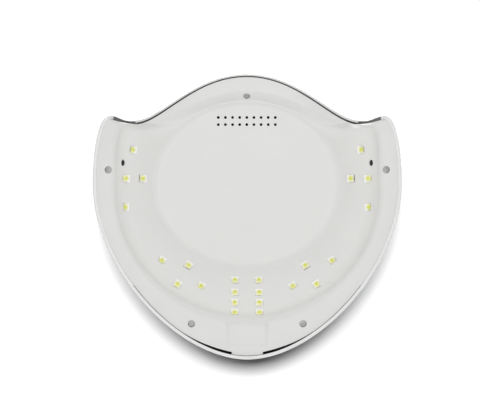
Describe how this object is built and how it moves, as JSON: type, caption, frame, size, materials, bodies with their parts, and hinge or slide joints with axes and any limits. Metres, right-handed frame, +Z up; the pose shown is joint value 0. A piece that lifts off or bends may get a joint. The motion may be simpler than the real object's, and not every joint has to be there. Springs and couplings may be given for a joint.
{
  "type": "nail curing lamp",
  "caption": "Domed table lamp for curing gel nails: gloss cover with a scooped hand arch, white light chamber lined with LEDs, timer keys on the crown, socket at the rear.",
  "frame": {"origin": "centre of the footprint, on the plane that the rim stands on", "axes": "+X to the right seen from above, +Y from the hand arch to the closed rear, +Z up"},
  "size_m": [0.2062, 0.198, 0.082],
  "materials": {
    "cover_gloss": "moulded gloss white plastic",
    "liner_satin": "moulded satin white plastic",
    "screw_steel": "nickel-plated cross-slot screws",
    "sensor_black": "infra-red tinted epoxy",
    "panel_black": "gloss black key panel",
    "switch_metal": "tinned switch cover",
    "switch_black": "switch plunger",
    "board_green": "green solder mask on glass-fibre board",
    "board_white": "white solder mask on aluminium board",
    "led_body": "white package under a yellow silicone lens",
    "lens_clear": "clear light pipe",
    "key_grey": "pale grey key cap",
    "socket_black": "moulded socket body",
    "plated_metal": "nickel plating",
    "chip_black": "moulded chip package",
    "ferrite_grey": "ferrite drum",
    "capacitor_sleeve": "printed-free capacitor sleeve",
    "header_cream": "nylon wire header",
    "lead_red": "red insulation",
    "lead_black": "black insulation",
    "ribbon_grey": "flat ribbon insulation"
  },
  "bodies": {
    "lamp": {"outer_shell": "cover_gloss", "inner_liner": "liner_satin", "case_screws": "screw_steel", "led_board_left": "board_white", "led_board_right": "board_white", "led_board_rear_left": "board_white", "led_board_rear_right": "board_white", "led_board_rear": "board_white", "leds_left": "led_body", "leds_right": "led_body", "leds_rear_left": "led_body", "leds_rear_right": "led_body", "leds_rear": "led_body", "led_board_screws": "screw_steel", "ir_emitter": "sensor_black", "ir_receiver": "sensor_black", "button_bezel": "panel_black", "tact_switches": "switch_metal", "key_board": "board_green", "key_board_screws": "screw_steel", "indicator_leds": "led_body", "indicator_lenses": "lens_clear", "power_socket": "socket_black", "socket_pin": "plated_metal", "socket_nut": "plated_metal", "socket_lug": "plated_metal", "control_board": "board_green", "control_screws": "screw_steel", "driver_chips": "chip_black", "power_coil": "ferrite_grey", "filter_capacitors": "capacitor_sleeve", "wire_headers": "header_cream", "red_leads": "lead_red", "black_leads": "lead_black", "key_ribbon": "ribbon_grey"},
    "key_left": {"key_left": "key_grey", "stem_left": "switch_black"},
    "key_middle": {"key_middle": "key_grey", "stem_middle": "switch_black"},
    "key_right": {"key_right": "key_grey", "stem_right": "switch_black"}
  },
  "joints": [
    {"name": "press_left", "type": "slide", "parent": "lamp", "child": "key_left", "axis": [0, 0.1839, -0.9829], "range_m": [0, 0.0004], "stiffness_N_per_m": 2500, "springref_m": -0.0002},
    {"name": "press_middle", "type": "slide", "parent": "lamp", "child": "key_middle", "axis": [0, 0.1839, -0.9829], "range_m": [0, 0.0004], "stiffness_N_per_m": 2500, "springref_m": -0.0002},
    {"name": "press_right", "type": "slide", "parent": "lamp", "child": "key_right", "axis": [0, 0.1839, -0.9829], "range_m": [0, 0.0004], "stiffness_N_per_m": 2500, "springref_m": -0.0002}
  ]
}
